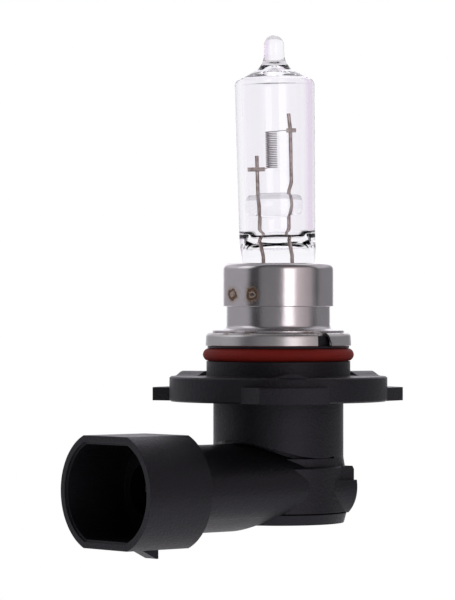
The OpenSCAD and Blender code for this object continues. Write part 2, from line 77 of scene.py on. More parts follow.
# %% A socket that can be added and multiplied
class Signal:
    """A shader socket that behaves like a number in an expression."""

    def __init__(self, wiring, socket):
        self.wiring, self.socket = wiring, socket

    def math(self, operation, *values):
        return self.wiring.node("ShaderNodeMath", {"operation": operation},
                                dict(enumerate(values)))

    def __add__(self, other): return self.math("ADD", self, other)
    def __radd__(self, other): return self.math("ADD", other, self)
    def __sub__(self, other): return self.math("SUBTRACT", self, other)
    def __rsub__(self, other): return self.math("SUBTRACT", other, self)
    def __mul__(self, other): return self.math("MULTIPLY", self, other)
    def __rmul__(self, other): return self.math("MULTIPLY", other, self)
    def __truediv__(self, other): return self.math("DIVIDE", self, other)
    def __pow__(self, other): return self.math("POWER", self, other)
    def __neg__(self): return self.math("MULTIPLY", self, -1.0)
    def abs(self): return self.math("ABSOLUTE", self)
    def sqrt(self): return self.math("SQRT", self)
    def most(self, other): return self.math("MAXIMUM", self, other)

    def step(self, low, high):
        """0 below low, 1 above high, and a smooth rise between; high may be the lower one."""
        return self.wiring.node("ShaderNodeMapRange", {"interpolation_type": "SMOOTHSTEP"},
                                {"Value": self, "From Min": low, "From Max": high})


# %% [markdown]
# ## One way to add a node
# A material and the room's light are both trees of nodes. One method adds a node of any kind to
# such a tree: its settings go in first, then its values and links.

# %% Wiring of a node tree
class Wiring:
    def __init__(self, tree):
        self.tree = tree

    def node(self, kind, settings, values, output=0):
        """Adds a node and gives back one of its outputs, or the node itself for output=None."""
        made = self.tree.nodes.new(kind)
        for key, value in settings.items():
            setattr(made, key, value)
        for key, value in values.items():
            if isinstance(value, Signal):
                self.tree.links.new(value.socket, made.inputs[key])
            else:
                made.inputs[key].default_value = value
        return made if output is None else Signal(self, made.outputs[output])

    def mixed(self, factor, first, second):
        """Blend of two colours, given as signals or as (red, green, blue)."""
        first, second = ((*c, 1) if isinstance(c, tuple) else c for c in (first, second))
        return self.node("ShaderNodeMix", {"data_type": "RGBA"},
                         {0: factor, 6: first, 7: second}, output=2)


# %% [markdown]
# ## A recipe for one finish
# Every material starts from a Principled shader, with its constant values set on the sockets.
# Patterns could follow a flattened map of each piece, but these pieces have none. So they are
# measured in millimetres in the object's own space, and stay put when the lamp is turned.

# %% A material under construction
class Recipe(Wiring):
    def __init__(self, name, **constants):
        self.material = bpy.data.materials.new(name)
        self.material.use_nodes = True
        super().__init__(self.material.node_tree)
        self.shader = next(n for n in self.tree.nodes if n.type == "BSDF_PRINCIPLED")
        for socket, value in constants.items():
            self.shader.inputs[socket.replace("_", " ")].default_value = value
        self.place = self.node("ShaderNodeTexCoord", {}, {}, output="Object")
        self.place_mm = self.node("ShaderNodeVectorMath", {"operation": "SCALE"},
                                  {0: self.place, "Scale": 1000.0})
        split = self.node("ShaderNodeSeparateXYZ", {}, {0: self.place_mm}, output=None)
        self.x, self.y, self.z = (Signal(self, split.outputs[i]) for i in range(3))

    def noise(self, scale, detail=3.0, rough=0.55, stretch=(1, 1, 1)):
        """Soft noise, its scale in waves per millimetre."""
        at = self.node("ShaderNodeMapping", {}, {"Vector": self.place_mm, "Scale": stretch})
        return self.node("ShaderNodeTexNoise", {},
                         {"Vector": at, "Scale": scale, "Detail": detail, "Roughness": rough})

    def cells(self, scale):
        """Distance to the nearest of many scattered points."""
        return self.node("ShaderNodeTexVoronoi", {}, {"Vector": self.place_mm, "Scale": scale})

    def feed(self, socket, signal):
        """Links a signal to one of the main shader's sockets."""
        self.tree.links.new(signal.socket, self.shader.inputs[socket])

    def bumps(self, height, strength=0.3, depth=0.00002, rounding=0.0):
        """Fine relief, over edges that catch the light as if rounded by so many metres."""
        values = {"Strength": strength, "Distance": depth, "Height": height}
        if rounding:
            values["Normal"] = self.node("ShaderNodeBevel", {"samples": 6}, {"Radius": rounding})
        self.feed("Normal", self.node("ShaderNodeBump", {}, values))
        print("finish", self.material.name, "nodes", len(self.tree.nodes))
        return self.material


# %% [markdown]
# ## Black plastic
# The base and the elbow are moulded from glass-filled nylon. It is nearly black, with a fine
# satin grain from the mould, faint flow marks and a few pale dust specks. A plain dark colour
# would look like paint, so noise varies the roughness and a small bump gives the grain. These
# pieces keep their CAD mesh, whose edges are sharp. A Bevel node under the bump lets the edges
# catch light as moulded ones do, and leaves the mesh alone.

# %% Black plastic
def black_plastic(name, shade=1.0, dust=1.0):
    """Moulded plastic; shade scales its darkness and dust its specks."""
    plastic = Recipe(name, Specular_IOR_Level=0.38, Specular_Tint=(0.96, 0.93, 1.06, 1))
    flow = plastic.noise(0.16, 4, 0.6, stretch=(1, 1, 0.45))
    grain = plastic.noise(2.7, 4, 0.75)
    pits = plastic.cells(2.6)
    specks = plastic.noise(1.7, 5, 0.7).step(0.70, 0.77) * plastic.noise(0.35).step(0.48, 0.62)
    base = plastic.mixed(flow, (0.0050 * shade, 0.0050 * shade, 0.0062 * shade),
                         (0.0095 * shade, 0.0093 * shade, 0.0112 * shade))
    plastic.feed("Base Color", plastic.mixed(specks * (0.32 * dust), base, (0.30, 0.29, 0.28)))
    plastic.feed("Roughness", 0.22 + 0.12 * flow + 0.24 * grain + 0.22 * dust * specks)
    return plastic.bumps(grain + pits * 0.4 + flow * 0.8, 0.85, 0.00008, 0.00014)


base_plastic = black_plastic("base_plastic")
elbow_plastic = black_plastic("elbow_plastic", 0.95, 0.8)
cover_plastic = black_plastic("cover_plastic", 0.85, 0.7)

# %% [markdown]
# ## Red silicone
# The seal is dull and slightly chalky, and fine lint sticks to it. Subsurface scattering could
# give the rubber some depth, but on so thin a cord it would hardly show. Three noises are
# enough: one mottles the red, one adds small pale flecks, and a fine one roughens the surface.

# %% Red silicone
rubber = Recipe("red_silicone", Specular_IOR_Level=0.25)
chalk = rubber.noise(0.9, 5, 0.7)
fleck = rubber.noise(2.6, 6, 0.75, stretch=(1, 1, 2.2)).step(0.60, 0.72)
tone = rubber.mixed(chalk, (0.185, 0.0105, 0.0060), (0.34, 0.020, 0.011))
rubber.feed("Base Color", rubber.mixed(fleck * 0.14, tone, (0.55, 0.26, 0.20)))
rubber.feed("Roughness", 0.50 + 0.25 * chalk + 0.12 * fleck)
red_silicone = rubber.bumps(rubber.noise(4.0, 4, 0.6) + fleck * 0.4, 0.35, 0.00003)

# %% [markdown]
# ## Bright sheet steel
# The collars are drawn from bright sheet, so very fine lines run round them. Two spot welds
# fix the upper collar to the piece inside it, each with a straw and brown heat ring. Painted
# maps could hold such marks, but formulas stay sharp at any distance: stretched noise makes the
# lines, and the distance from each weld's centre makes the rings.

# %% Steel with drawing lines
def drawn_steel(name, colour, rough):
    """A recipe with a tone, a roughness and a height, for the caller to add marks to."""
    steel = Recipe(name, Metallic=1.0)
    ring_lines = steel.noise(0.9, 5, 0.7, stretch=(0.30, 0.30, 6.0))
    cloud = steel.noise(0.28, 4, 0.6)
    darker = tuple(c * 0.84 for c in colour)
    steel.tone = steel.mixed(cloud, darker, colour)
    steel.rough = rough - 0.05 + 0.10 * cloud + 0.07 * ring_lines
    steel.height = ring_lines + steel.noise(0.16, 3, 0.5) * 9.0
    return steel


def weld_marks(steel, welds, height, radius):
    """Burnt rims, pits and stains of two spot welds, each given as its turn, width and height."""
    rims, pits, stains = [], [], []
    ragged = steel.noise(1.3, 5, 0.75) + steel.noise(4.0, 3, 0.6) * 0.4 - 0.7
    for turn, wide, tall in welds:
        a = math.radians(turn)
        across = steel.y * math.cos(a) - steel.x * math.sin(a)
        dz = (steel.z - height) / tall
        inwards = (steel.x * math.cos(a) + steel.y * math.sin(a)) / radius
        away = ((across / wide) ** 2 + dz * dz + inwards.step(0.6, 0.2) * 9).sqrt() + ragged * 1.4
        rims.append(away.step(0.28, 0.55) * away.step(1.05, 0.78))
        pits.append(away.step(0.45, 0.22))
        stains.append(away.step(1.75, 0.85))
    return [pair[0].most(pair[1]) for pair in (rims, pits, stains)]


# %% Upper collar's finish, with its two welds
collar = drawn_steel("upper_collar_steel", (0.80, 0.775, 0.785), 0.17)
CAP_R, WELD_Z = 7.67, 11.35
rim, pit, stain = weld_marks(collar, ((-97.5, 1.25, 0.92), (-69.3, 0.95, 1.15)), WELD_Z, CAP_R)
tinted = collar.mixed(stain * 0.30, collar.tone, (0.50, 0.35, 0.17))
tinted = collar.mixed(rim * 0.90, tinted, (0.16, 0.075, 0.025))
tinted = collar.mixed(pit * 0.55, tinted, (0.34, 0.22, 0.14))
smear = collar.noise(0.5, 5, 0.65, stretch=(1, 1, 0.4)).step(0.56, 0.75)
collar.feed("Base Color", collar.mixed(smear * 0.22, tinted, (0.60, 0.50, 0.42)))
collar.feed("Roughness", collar.rough + rim * 0.30 + smear * 0.08)
upper_collar_steel = collar.bumps(collar.height * 0.5 - pit * 2.0 + rim * 0.8, 0.32, 0.00003)

# %% Lower collar, ring and clip finishes
def plain_steel(name, colour, rough, stain, seam=None):
    """Sheet steel with faint rust, and more of it round a seam's height if one is given."""
    steel = drawn_steel(name, colour, rough)
    rust = steel.noise(0.85, 6, 0.7).step(0.60, 0.74) * stain
    if seam is not None:
        near_seam = (steel.z - seam).abs().step(0.45, 0.12)
        rust = rust.most(near_seam * steel.noise(0.55, 5, 0.75).step(0.50, 0.66) * 0.9)
    steel.feed("Base Color", steel.mixed(rust * 0.75, steel.tone, (0.22, 0.10, 0.045)))
    steel.feed("Roughness", steel.rough + rust * 0.25)
    return steel.bumps(steel.height * 0.5 + rust * 0.5, 0.30, 0.00003)


SEAM_Z = 6.1
lower_collar_steel = plain_steel("lower_collar_steel", (0.77, 0.75, 0.76), 0.20, 0.3, SEAM_Z)
ring_steel = plain_steel("ring_steel", (0.74, 0.73, 0.72), 0.30, 0.5, SEAM_Z)
clip_steel = plain_steel("clip_steel", (0.52, 0.51, 0.50), 0.34, 0.3)

# %% [markdown]
# ## Wires, clips and terminals
# The filament is dull grey tungsten. The leads are molybdenum, browned in patches by heat, and
# the blades are tinned, with fine scratches along their length. The wires are too thin for a
# large pattern to show, so one function gives them all two tones and a fine scale. The blades
# get their own recipe.

# %% Wire and strip finishes
def hot_wire(name, cool, hot, rough):
    """Wire or strip in a cool tone, with patches in the tone that heat gives it."""
    wire = Recipe(name, Metallic=1.0)
    patch = wire.noise(1.1, 4, 0.6)
    scale = wire.noise(9.0, 3, 0.6)
    wire.feed("Base Color", wire.mixed(patch.step(0.35, 0.7), cool, hot))
    wire.feed("Roughness", rough + 0.15 * scale)
    return wire.bumps(scale, 0.35, 0.00001)


tungsten = hot_wire("tungsten", (0.46, 0.42, 0.45), (0.30, 0.26, 0.28), 0.36)
lead_metal = hot_wire("lead_molybdenum", (0.58, 0.49, 0.47), (0.34, 0.26, 0.24), 0.30)
clip_metal = hot_wire("clip_molybdenum", (0.54, 0.46, 0.43), (0.34, 0.27, 0.25), 0.34)
foil_metal = hot_wire("foil_molybdenum", (0.50, 0.49, 0.48), (0.36, 0.34, 0.33), 0.30)
nickel = hot_wire("nickel_wire", (0.60, 0.58, 0.54), (0.44, 0.42, 0.38), 0.28)

tin = Recipe("terminal_tin", Metallic=1.0)
scratch = tin.noise(1.4, 5, 0.7, stretch=(7, 0.25, 1))
dull = tin.noise(0.4, 4, 0.6)
tin.feed("Base Color", tin.mixed(dull, (0.68, 0.66, 0.60), (0.50, 0.48, 0.43)))
tin.feed("Roughness", 0.24 + 0.14 * dull + 0.12 * scratch.step(0.5, 0.7))
terminal_tin = tin.bumps(scratch, 0.25, 0.00002)

# %% [markdown]
# ## Quartz
# Quartz is clear, and slightly wavy where it was worked hot, at the pinch and at the tip. Its
# index is lower than window glass. A transparent shader would be quicker, but only refraction
# bends the room into the dark lines that mark the walls. Waviness is a broad, low bump, and a
# faint haze near the pinch comes from roughness.

# %% Quartz
def quartz_glass(name, haze, wave):
    """Clear quartz with a little haze and waves, most of them near the pinch."""
    quartz = Recipe(name, IOR=1.458, Transmission_Weight=1.0)
    broad = quartz.noise(0.22, 3, 0.5, stretch=(1, 1, 0.5))
    streak = quartz.noise(0.8, 4, 0.6, stretch=(1, 1, 0.15))
    low = quartz.z.step(21.5, 17.0)
    tip = quartz.z.step(41.5, 43.5)
    quartz.feed("Base Color", quartz.mixed(broad, (0.995, 0.99, 1.0), (0.98, 0.972, 0.995)))
    quartz.feed("Roughness", haze * (0.1 + low) * streak)
    return quartz.bumps(broad * (0.5 + 2.4 * low + 1.4 * tip) + streak * 0.1, wave, 0.00012)


quartz = quartz_glass("quartz", 0.03, 0.35)
bead_quartz = quartz_glass("bead_quartz", 0.01, 0.3)
print("materials:", len(bpy.data.materials))

# %% [markdown]
# ## Turning an outline into a round piece
# Most of the lamp is round. Cylinders could be stacked and cut, but every lip and cove would
# need its own cut. So a round piece is an outline in the (radius, height) plane, spun once round
# the axis. Helpers draw arcs in that outline and hand the finished mesh over.

# %% Outline helpers
def arc(cx, cz, r, start, end, steps=10):
    """Points on an arc, angles in degrees."""
    return [(cx + r * math.cos(math.radians(start + (end - start) * i / steps)),
             cz + r * math.sin(math.radians(start + (end - start) * i / steps)))
            for i in range(steps + 1)]


def spun(outline, steps=144, closed=True, turn=360.0, start=0.0):
    """A mesh, in millimetres, spun from an outline of (radius, height) pairs."""
    bm = bmesh.new()
    verts = [bm.verts.new((r, 0, z)) for r, z in outline]
    pairs = list(zip(verts, verts[1:])) + ([(verts[-1], verts[0])] if closed else [])
    edges = [bm.edges.new(p) for p in pairs]
    geometry = verts + edges
    if turn < 360 and closed:
        geometry.append(bm.faces.new(verts))
    bmesh.ops.rotate(bm, verts=verts, cent=(0, 0, 0),
                     matrix=Matrix.Rotation(math.radians(start), 3, "Z"))
    bmesh.ops.spin(bm, geom=geometry, axis=(0, 0, 1), cent=(0, 0, 0), dvec=(0, 0, 0),
                   angle=math.radians(turn), steps=steps, use_merge=turn == 360.0)
    bmesh.ops.remove_doubles(bm, verts=bm.verts, dist=1e-4)
    bmesh.ops.recalc_face_normals(bm, faces=bm.faces)
    return bm


def joined(*parts):
    """One bmesh that holds all the given ones."""
    whole = bmesh.new()
    for bm in parts:
        mesh = bpy.data.meshes.new("part")
        bm.to_mesh(mesh)
        whole.from_mesh(mesh)
        bpy.data.meshes.remove(mesh)
        bm.free()
    return whole


def hand_over(name, bm, material, cad_nodes, sharp=32.0):
    """Scales a mesh from millimetres, marks its sharp edges and makes it a piece of the lamp."""
    bmesh.ops.scale(bm, vec=(MM, MM, MM), verts=bm.verts)
    for face in bm.faces:
        face.smooth = True
    for edge in bm.edges:
        if len(edge.link_faces) == 2:
            edge.smooth = edge.calc_face_angle(0.0) < math.radians(sharp)
    mesh = bpy.data.meshes.new(name)
    bm.to_mesh(mesh)
    bm.free()
    mesh.materials.append(material)
    piece = bpy.data.objects.new(name, mesh)
    bpy.context.scene.collection.objects.link(piece)
    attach(piece, "root")
    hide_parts(*cad_nodes)
    print(name, "faces", len(mesh.polygons), "mm", [round(d * 1000, 1) for d in piece.dimensions])
    return piece


# %% [markdown]
# ## The collars
# Drawn sheet never has a sharp corner: the upper collar's top rolls inwards, its mouth turns
# down a little, and its rim has a burr-free edge. Spinning a closed sheet outline gives all of
# that in one go.

# %% Upper collar
CAP_T, CAP_Z, CAP_TOP, CAP_ROUND, LIP_R, LIP_ROUND = 0.44, 9.7, 15.7, 0.9, 5.95, 0.3
cap = ([(CAP_R - 0.08, CAP_Z), (CAP_R, CAP_Z + 0.08)]
       + arc(CAP_R - CAP_ROUND, CAP_TOP - CAP_ROUND, CAP_ROUND, 0, 90)
       + arc(LIP_R, CAP_TOP - LIP_ROUND, LIP_ROUND, 90, 180, 5)
       + [(LIP_R - LIP_ROUND, CAP_TOP - 0.55), (LIP_R, CAP_TOP - 0.6),
          (LIP_R + 0.25, CAP_TOP - CAP_T)]
       + arc(CAP_R - CAP_ROUND, CAP_TOP - CAP_ROUND, CAP_ROUND - CAP_T, 90, 0, 6)
       + [(CAP_R - CAP_T, CAP_Z + 0.05), (CAP_R - CAP_T + 0.05, CAP_Z)])
hand_over("upper_collar_shell", spun(cap), upper_collar_steel,
          ["upper_collar"])

# %% Lower collar
LOW_R, LOW_T, LOW_Z, LOW_TALL, LOW_BEND, FOOT_R, COVE_R = 7.2, 0.35, 6.05, 6.6, 0.3, 9.15, 0.75
low_bore = LOW_R - LOW_T
low = ([(low_bore, LOW_Z + LOW_TALL), (low_bore, LOW_Z + LOW_BEND)]
       + arc(low_bore + LOW_BEND, LOW_Z + LOW_BEND, LOW_BEND, 180, 270, 5)
       + [(FOOT_R - 0.1, LOW_Z)] + arc(FOOT_R - 0.12, LOW_Z + 0.12, 0.12, -90, 0, 3)
       + [(FOOT_R, LOW_Z + 0.24)] + arc(FOOT_R - 0.1, LOW_Z + 0.25, 0.1, 0, 90, 3)
       + arc(LOW_R + COVE_R, LOW_Z + LOW_T + COVE_R, COVE_R, 270, 180, 8)
       + [(LOW_R, LOW_Z + LOW_TALL)])
hand_over("lower_collar_shell", spun(low), lower_collar_steel,
          ["lower_collar"])

# %% [markdown]
# ## The slotted ring
# A pressed ring caps the plastic neck. Its side wall flares slightly and is cut by two narrow
# slots, one end of each being slanted. A boolean could cut them, but a part-turn spin of the
# wall's section simply stops at a slot's edge and leaves clean faces. A full-turn washer joins
# the two halves under the collar's disc.

# %% Slotted ring
RING_Z, RING_TOP, RING_R, RING_T, RING_ROUND = 4.25, 6.05, 10.12, 0.4, 0.6
WASHER_R, WASHER_HOLE_R = 8.8, 6.6
bend_r = RING_R - RING_ROUND - 0.06
wall = ([(RING_R - 0.38, RING_Z), (RING_R - 0.07, RING_Z), (RING_R, RING_Z + 0.08),
         (RING_R - 0.02, RING_Z + 0.5)]
        + arc(bend_r, RING_TOP - RING_ROUND, RING_ROUND, 0, 90, 7)
        + [(WASHER_R, RING_TOP), (WASHER_R, RING_TOP - RING_T)]
        + arc(bend_r, RING_TOP - RING_T - 0.28, 0.28, 90, 0, 4))
SLOT_TURN, SLOT_HALF = -3.0, math.degrees(0.92 / 10.0)
SLANT, SLANT_REACH = 0.044, 3.0
halves = []
for first in (SLOT_TURN, SLOT_TURN + 180):
    half = spun(wall, 72, turn=180 - 2 * SLOT_HALF, start=first + SLOT_HALF)
    for v in half.verts:
        turned = (math.degrees(math.atan2(v.co.y, v.co.x)) - first - SLOT_HALF) % 360
        if turned < SLANT_REACH or turned > 359:
            lean = SLANT * (RING_TOP - v.co.z) * (1 - min(turned, 360 - turned) / SLANT_REACH)
            v.co = Matrix.Rotation(lean, 3, "Z") @ v.co
    halves.append(half)
washer = spun([(WASHER_HOLE_R, RING_TOP - RING_T), (WASHER_R, RING_TOP - RING_T),
               (WASHER_R, RING_TOP), (WASHER_HOLE_R, RING_TOP)])
hand_over("slotted_ring_shell", joined(*halves, washer), ring_steel,
          ["slotted_ring"])

# %% [markdown]
# ## The seal
# A moulded O-ring carries a faint parting line at its widest point. A torus would be too
# perfect, so the outline is a circle with a tiny ridge there, spun round the neck.

# %% O-ring
SEAL_R, SEAL_Z, SEAL_WIDE, SEAL_TALL, SEAL_RIDGE, SEAL_SIDES = 9.62, 3.025, 0.865, 0.88, 0.03, 40
seal = []
for i in range(SEAL_SIDES):
    a = 2 * math.pi * i / SEAL_SIDES
    ridge = SEAL_RIDGE if i == 0 else 0.0
    seal.append((SEAL_R + (SEAL_WIDE + ridge) * math.cos(a), SEAL_Z + SEAL_TALL * math.sin(a)))
hand_over("seal_ring", spun(seal, 180), red_silicone, ["o_ring"])

# %% [markdown]
# ## The burner's own axis
# The glass leans one degree in the base, as real ones do, and the two leads stand side by side
# in one plane. Pieces of the burner are made upright and then moved by one matrix.

# %% Burner frame
PIVOT, BURNER_TURN, BURNER_LEAN = Vector((0, 0, 11.05)), math.radians(50), math.radians(-1.0)
BURNER = (Matrix.Translation(PIVOT) @ Matrix.Rotation(BURNER_TURN, 4, "Z")
          @ Matrix.Rotation(BURNER_LEAN, 4, "Y") @ Matrix.Translation(-PIVOT))
print("burner leans", round(math.degrees(BURNER_LEAN), 2), "degrees")


def on_burner(bm):
    """Moves a mesh from its upright place to its place in the leaning burner."""
    bmesh.ops.transform(bm, matrix=BURNER, verts=bm.verts)
    return bm


# %% [markdown]
# ## The quartz tube
# The tube is drawn down to a sealed tip at the top and pinched flat at the foot. Both walls
# are spun, then the points at the outer wall's foot are moved in to the pinch's flats. The inner
# wall is turned inside out, so that light sees a hollow.

# %% Quartz tube
GLASS_R, BORE_R, SHOULDER, FLOOR = 5.58, 4.63, 40.45, 19.75
PINCH_TOP, PINCH_HALF, PINCH_WIDE, PINCH_FOOT = 16.2, 1.9, 4.87, 8.25
TIP_R, TIP_Z = 1.42, 46.0


def narrowed(r, z):
    """The drawn tube is a little thinner towards its foot."""
    return r - 0.26 * max(0.0, min(1.0, (SHOULDER - z) / 20.0))


def wall_points(r, start, step, count):
    """Points up a wall of the tube, a step apart."""
    return [(narrowed(r, start + step * i), start + step * i) for i in range(count)]


outer = ([(0.0, PINCH_FOOT), (GLASS_R - 0.28, PINCH_FOOT), (GLASS_R, PINCH_FOOT + 0.35)]
         + wall_points(GLASS_R, PINCH_FOOT + 0.6, 0.25, 55)
         + wall_points(GLASS_R, 22.6, 1.6, 11)
         + arc(GLASS_R - 0.85, SHOULDER, 0.85, 0, 64, 8)
         + arc(4.32, 44.87, 2.9, 244, 180, 14)
         + [(TIP_R - 0.02, TIP_Z - 0.6)] + arc(0, TIP_Z, TIP_R, 0, 90, 12))
inner = ([(0.0, FLOOR), (1.3, FLOOR - 0.05), (2.6, FLOOR)]
         + arc(narrowed(BORE_R, FLOOR) - 0.5, FLOOR + 0.5, 0.5, 270, 360, 6)
         + wall_points(BORE_R, FLOOR + 0.7, 0.2, 17)
         + wall_points(BORE_R, 24.5, 2.5, 7)
         + arc(BORE_R - 0.8, 40.55, 0.8, 0, 84, 8)
         + [(2.6, 41.40), (1.6, 41.5), (1.15, 41.75), (0.85, 42.3), (0.45, 42.65), (0.0, 42.75)])


def squeezed(v):
    """Moves a point of the tube's foot in to the pinch's flats, across and sideways."""
    cove = GLASS_R - PINCH_HALF
    limit_y = GLASS_R
    if v.z < PINCH_TOP:
        limit_y = PINCH_HALF
    elif v.z < PINCH_TOP + cove:
        limit_y = GLASS_R - math.sqrt(cove ** 2 - (v.z - PINCH_TOP) ** 2)
    limit_x = PINCH_WIDE + (GLASS_R - PINCH_WIDE) * max(0.0, min(1.0, (v.z - 15.8) / 5.1))
    swelling = 0.25 * max(0.0, min(1.0, (v.z - 15.0) / 0.8))
    return Vector((max(-limit_x, min(limit_x + swelling, v.x)),
                   max(-limit_y, min(limit_y, v.y)), v.z))


tube = spun(outer, 160, closed=False)
for v in tube.verts:
    v.co = squeezed(v.co)
rounding = [v for v in tube.verts if v.co.z < 21.0 and math.hypot(v.co.x, v.co.y) > 1.5]
for _ in range(4):
    bmesh.ops.smooth_vert(tube, verts=rounding, factor=0.5, use_axis_x=True, use_axis_y=True)
hollow = spun(inner, 160, closed=False)
bmesh.ops.reverse_faces(hollow, faces=hollow.faces)
hand_over("quartz_tube", on_burner(joined(tube, hollow)), quartz, ["glass_envelope"],
          sharp=60)

# %% [markdown]
# ## Wires
# Each lead is a round wire bent to a route. An extruded circle would kink at each bend. A curve
# with a round bevel follows the route smoothly, and is then turned into a mesh, so that it can
# be moved with the burner. The filament is such a wire too, wound into a coil by a formula.

# %% Wire helper
def wire_mesh(points, radius, smooth=True, sides=6):
    """A mesh, in millimetres, of a round wire along points."""
    curve = bpy.data.curves.new("route", "CURVE")
    curve.dimensions = "3D"
    curve.bevel_depth = radius
    curve.bevel_resolution = sides
    curve.use_fill_caps = True
    curve.twist_mode = "MINIMUM"
    spline = curve.splines.new("NURBS" if smooth else "POLY")
    spline.points.add(len(points) - 1)
    for point, at in zip(spline.points, points):
        point.co = (*at, 1)
    if smooth:
        spline.order_u, spline.use_endpoint_u, spline.resolution_u = 3, True, 6
    carrier = bpy.data.objects.new("route", curve)
    bpy.context.scene.collection.objects.link(carrier)
    bpy.context.view_layer.update()
    made = carrier.evaluated_get(bpy.context.evaluated_depsgraph_get())
    mesh = bpy.data.meshes.new_from_object(made)
    bm = bmesh.new()
    bm.from_mesh(mesh)
    bpy.data.objects.remove(carrier)
    bpy.data.curves.remove(curve)
    bpy.data.meshes.remove(mesh)
    bmesh.ops.remove_doubles(bm, verts=bm.verts, dist=1e-5)
    bmesh.ops.recalc_face_normals(bm, faces=bm.faces)
    return bm


def eased(route, reach=0.3):
    """Adds a point on each side of every bend, so that a smooth curve runs straight between."""
    points = [Vector(route[0])]
    for before, here, after in zip(route, route[1:], route[2:]):
        here = Vector(here)
        for other in (before, after):
            along = Vector(other) - here
            points.append(here + along.normalized() * min(reach, along.length * 0.45))
            if other is before:
                points.append(here)
    points.append(Vector(route[-1]))
    return points


# %% Filament and its leads
COIL_X, COIL_R, COIL_WIRE, COIL_FOOT, COIL_LENGTH = -0.61, 0.775, 0.062, 28.95, 5.1
COIL_TURNS, STEPS_PER_TURN = 20.5, 28
LEAD_R, LOW_CLIP_Z, HIGH_CLIP_Z = 0.26, 28.8, 34.15
coil = [(-1.75, 0, LOW_CLIP_Z), (-1.6, 0, LOW_CLIP_Z)]
for i in range(int(COIL_TURNS * STEPS_PER_TURN) + 1):
    t = i / (COIL_TURNS * STEPS_PER_TURN)
    a = math.pi + 2 * math.pi * COIL_TURNS * t
    coil.append((COIL_X + COIL_R * math.cos(a), COIL_R * math.sin(a), COIL_FOOT + COIL_LENGTH * t))
coil += [(0.5, 0, HIGH_CLIP_Z - 0.03), (1.04, 0, HIGH_CLIP_Z), (1.6, 0, HIGH_CLIP_Z)]
hand_over("filament_coil", on_burner(wire_mesh(coil, COIL_WIRE, smooth=False, sides=3)), tungsten,
          ["filament"], sharp=80)

short_route = [(-2.66, 0, 30.7), (-2.6, 0, 25.3), (-2.3, 0, 23.8), (-2.48, 0, 19.6),
               (-2.0, 0, 16.8), (-2.0, 0, 14.0)]
long_route = [(1.85, 0, 36.5), (2.08, 0, HIGH_CLIP_Z), (2.07, 0, 26.9), (1.68, 0, 25.6),
              (2.0, 0, 23.8), (1.65, 0, 22.7), (1.62, 0, 19.6), (2.0, 0, 16.8), (2.0, 0, 14.0)]
hand_over("short_lead_wire", on_burner(wire_mesh(eased(short_route), LEAD_R)), lead_metal,
          ["short_lead"], sharp=70)
hand_over("long_lead_wire", on_burner(wire_mesh(eased(long_route), LEAD_R)), lead_metal,
          ["long_lead"], sharp=70)

# %% [markdown]
# ## Clips on the filament
# Each clip is a strip folded round a lead and squeezed onto a leg of the filament. At half a
# millimetre tall the fold itself can't be made out, so a block with rounded edges and a pressed
# waist stands for it.

# %% Filament clips
CRIMP_TALL, CRIMP_WAIST, CRIMP_ROUND = 0.56, 0.72, 0.045


def crimp(x0, x1, z, depth):
    """A folded strip from x0 to x1, pressed thinner between its ends."""
    bm = bmesh.new()
    bmesh.ops.create_cube(bm, size=1.0)
    bmesh.ops.scale(bm, vec=(x1 - x0, depth, CRIMP_TALL), verts=bm.verts)
    bmesh.ops.subdivide_edges(bm, edges=[e for e in bm.edges
                                         if abs(e.verts[0].co.x - e.verts[1].co.x) > 0.1],
                              cuts=5)
    for v in bm.verts:
        t = abs(v.co.x) / (x1 - x0) * 2
        v.co.y *= 1.0 if t > 0.75 else CRIMP_WAIST
    bmesh.ops.bevel(bm, geom=bm.edges[:], offset=CRIMP_ROUND, offset_type="OFFSET", affect="EDGES",
                    segments=2, profile=0.5, material=-1)
    bmesh.ops.translate(bm, vec=((x0 + x1) / 2, 0, z), verts=bm.verts)
    return bm


hand_over("lower_crimp", on_burner(crimp(-3.95, -1.56, LOW_CLIP_Z, 0.86)), clip_metal,
          ["lower_filament_clip"], sharp=50)
hand_over("upper_crimp", on_burner(crimp(1.5, 2.85, HIGH_CLIP_Z, 0.80)), clip_metal,
          ["upper_filament_clip"], sharp=50)

# %% [markdown]
# ## Bridge bead
# A short quartz rod is melted round both leads to keep them apart. It is pulled in a little
# where each lead passes, and its ends are domed by the flame. Half of its outline is given, and
# the other half is its mirror image.

# %% Bridge bead
BEAD_X, BEAD_Z = -0.38, 23.8
half_bead = [(1.72, 0.0), (1.72, 1.5), (1.66, 1.9), (1.46, 2.3), (1.42, 2.7), (1.43, 3.1),
             (1.36, 3.5), (1.15, 3.8), (0.7, 3.95), (0.0, 4.0)]
bead = [(r, -z) for r, z in half_bead[:0:-1]] + half_bead
rod = spun(bead, 64, closed=False)
bmesh.ops.rotate(rod, verts=rod.verts, cent=(0, 0, 0), matrix=Matrix.Rotation(math.pi / 2, 3, "Y"))
bmesh.ops.translate(rod, verts=rod.verts, vec=(BEAD_X, 0, BEAD_Z))
hand_over("bridge_rod", on_burner(rod), bead_quartz, ["bridge_bead"], sharp=60)

# %% [markdown]
# ## Finishes for the pieces that stay as CAD
# The moulded base, the elbow, its cover, the blades, the foils, the outer leads and the hidden
# clip already have the right shape. They only get their finish, and their meshes are left alone.

# %% CAD nodes with their finishes
finishes = {"base_housing": base_plastic, "connector_housing": elbow_plastic,
            "bottom_cover": cover_plastic,
            "terminal_left": terminal_tin, "terminal_right": terminal_tin,
            "pinch_clip": clip_steel, "foil_short_side": foil_metal,
            "foil_long_side": foil_metal, "outer_lead_short_side": nickel,
            "outer_lead_long_side": nickel}
for name, finish in finishes.items():
    for index in range(len(nodes[name].material_slots)):
        nodes[name].material_slots[index].material = finish
print("finished CAD nodes:", len(finishes))

